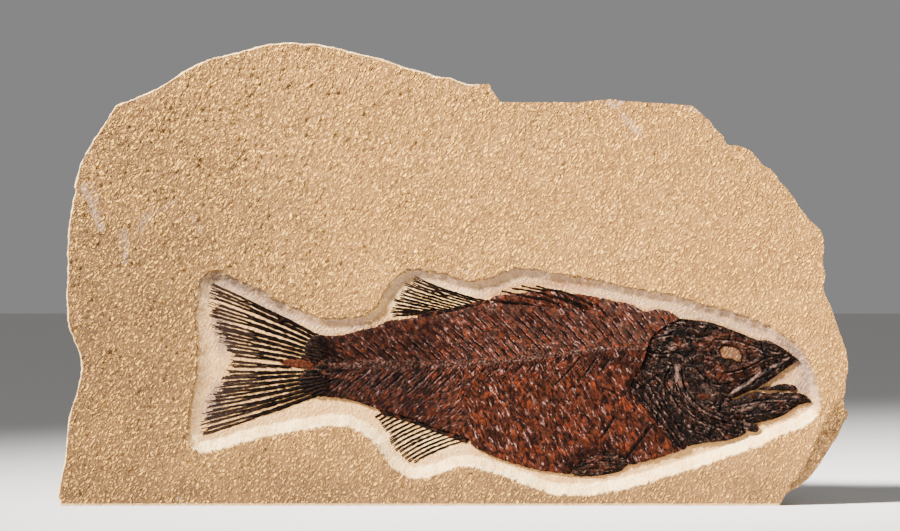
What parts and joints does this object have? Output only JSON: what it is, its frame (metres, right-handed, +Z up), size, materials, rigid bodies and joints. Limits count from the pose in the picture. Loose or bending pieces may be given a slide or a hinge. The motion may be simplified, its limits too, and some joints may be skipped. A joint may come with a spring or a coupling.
{
  "type": "fossil fish slab",
  "caption": "Fossil fish lying in a recess cut into an upright slab of pale limestone with broken edges and a flat sawn base.",
  "frame": {"origin": "middle of the slab's box at the level of its sawn base", "axes": "+X along the slab towards the fish's head, -Y out of the face that shows the fish, +Z up from the sawn base"},
  "size_m": [0.4306, 0.0242, 0.2523],
  "materials": {
    "limestone": "matte, split along the bedding",
    "scales": "semi-gloss, granular, rust and black",
    "bone": "semi-gloss, black with rust specks",
    "fin_ray": "semi-gloss, black to dark brown"
  },
  "bodies": {
    "root": {"slab": "limestone", "scaled_flank": "scales", "skull": "bone", "gill_cover": "bone", "cheek_bone": "bone", "upper_jaw": "bone", "lower_jaw": "bone", "tongue_bone": "bone", "shoulder_bone": "bone", "tail_fin": "fin_ray", "rear_dorsal_fin": "fin_ray", "front_dorsal_fin": "fin_ray", "anal_fin": "fin_ray", "pelvic_fin": "fin_ray"}
  },
  "joints": []
}
